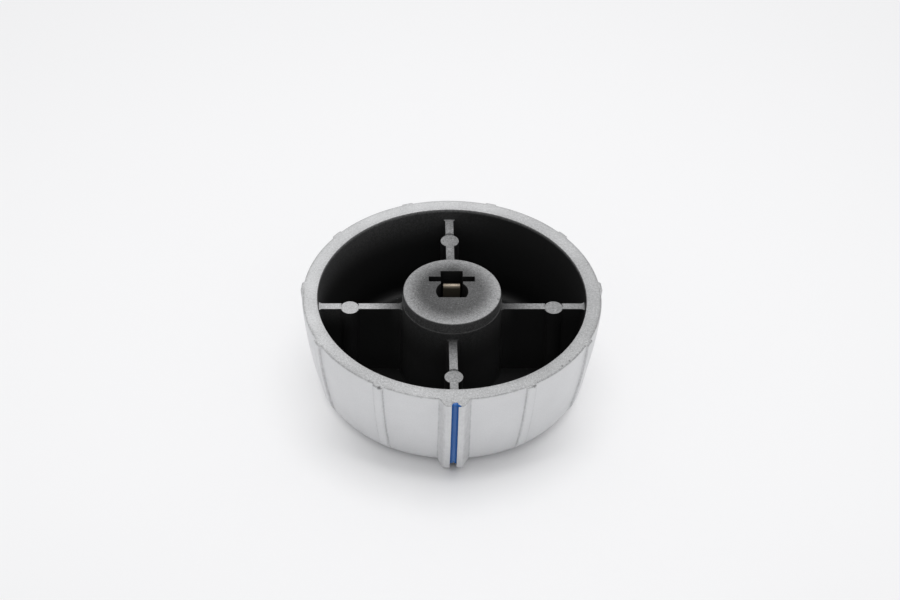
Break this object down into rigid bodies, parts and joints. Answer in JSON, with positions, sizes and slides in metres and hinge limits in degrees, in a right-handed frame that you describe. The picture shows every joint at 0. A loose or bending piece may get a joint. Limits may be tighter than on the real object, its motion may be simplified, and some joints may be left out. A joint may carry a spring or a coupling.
{
  "type": "control knob",
  "caption": "Round appliance control knob with a fluted bowl-shaped grip, a raised pointer with a painted line, inner ribs and a hub with a D-shaft socket and spring clip.",
  "frame": {"origin": "the shaft axis at the flat front face", "axes": "+Z along the shaft axis, from the front face towards the open back; the pointer is at -Y"},
  "size_m": [0.0566, 0.0577, 0.0214],
  "materials": {
    "silver_plastic": "black moulded plastic sprayed silver outside, with overspray fading to black inside",
    "spring_metal": "bent leaf of spring metal, dull, with a bright bend",
    "blue_paint": "satin blue paint laid in a groove"
  },
  "bodies": {
    "root": {"knob_body": "silver_plastic", "spring_clip": "spring_metal", "pointer_line": "blue_paint"}
  },
  "joints": []
}
